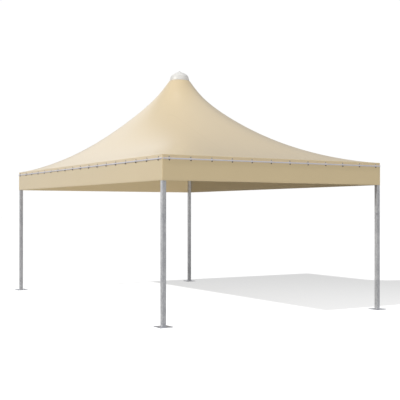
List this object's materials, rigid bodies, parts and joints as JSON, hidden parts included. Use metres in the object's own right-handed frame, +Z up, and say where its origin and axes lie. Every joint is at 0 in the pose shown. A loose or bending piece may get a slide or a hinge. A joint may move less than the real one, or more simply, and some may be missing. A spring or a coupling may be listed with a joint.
{
  "type": "gazebo tent",
  "caption": "Rectangular pagoda gazebo tent: a curved beige cover with a capped crown and straight valance, over square steel posts with base plates.",
  "frame": {"origin": "on the ground under the crown, at the centre of the plan", "axes": "+X along the 6 m side, +Y from front to back along the 4 m side, +Z up"},
  "size_m": [6.1334, 4.1334, 4.1199],
  "materials": {
    "cover_cloth": "coated PVC cloth, satin",
    "valance_cloth": "coated PVC cloth, satin",
    "galvanised_post": "hot-dip galvanised, mottled",
    "galvanised_beam": "hot-dip galvanised, mottled",
    "galvanised_plate": "hot-dip galvanised, mottled",
    "stay_steel": "stranded and turned steel",
    "eave_rail": "drawn, satin",
    "cap_shell": "moulded, white"
  },
  "bodies": {
    "root": {"base_plate_front_left": "galvanised_plate", "base_plate_front_right": "galvanised_plate", "base_plate_back_left": "galvanised_plate", "base_plate_back_right": "galvanised_plate", "post_front_left": "galvanised_post", "post_front_right": "galvanised_post", "post_back_left": "galvanised_post", "post_back_right": "galvanised_post", "eave_beam_front": "galvanised_beam", "eave_beam_back": "galvanised_beam", "eave_beam_left": "galvanised_beam", "eave_beam_right": "galvanised_beam", "corner_bracket_front_left": "galvanised_plate", "corner_bracket_front_right": "galvanised_plate", "corner_bracket_back_left": "galvanised_plate", "corner_bracket_back_right": "galvanised_plate", "turnbuckle_front_left": "stay_steel", "turnbuckle_front_right": "stay_steel", "turnbuckle_back_left": "stay_steel", "turnbuckle_back_right": "stay_steel", "stay_cable_front_left": "stay_steel", "stay_cable_front_right": "stay_steel", "stay_cable_back_left": "stay_steel", "stay_cable_back_right": "stay_steel", "mast_foot": "galvanised_plate", "mast": "galvanised_post", "crown_ring": "galvanised_plate", "crown_cap": "cap_shell", "cap_finial": "cap_shell", "eave_rail_front": "eave_rail", "eave_rail_back": "eave_rail", "eave_rail_left": "eave_rail", "eave_rail_right": "eave_rail", "valance_front": "valance_cloth", "valance_back": "valance_cloth", "valance_left": "valance_cloth", "valance_right": "valance_cloth", "roof_cover_front": "cover_cloth", "roof_cover_back": "cover_cloth", "roof_cover_left": "cover_cloth", "roof_cover_right": "cover_cloth"}
  },
  "joints": []
}
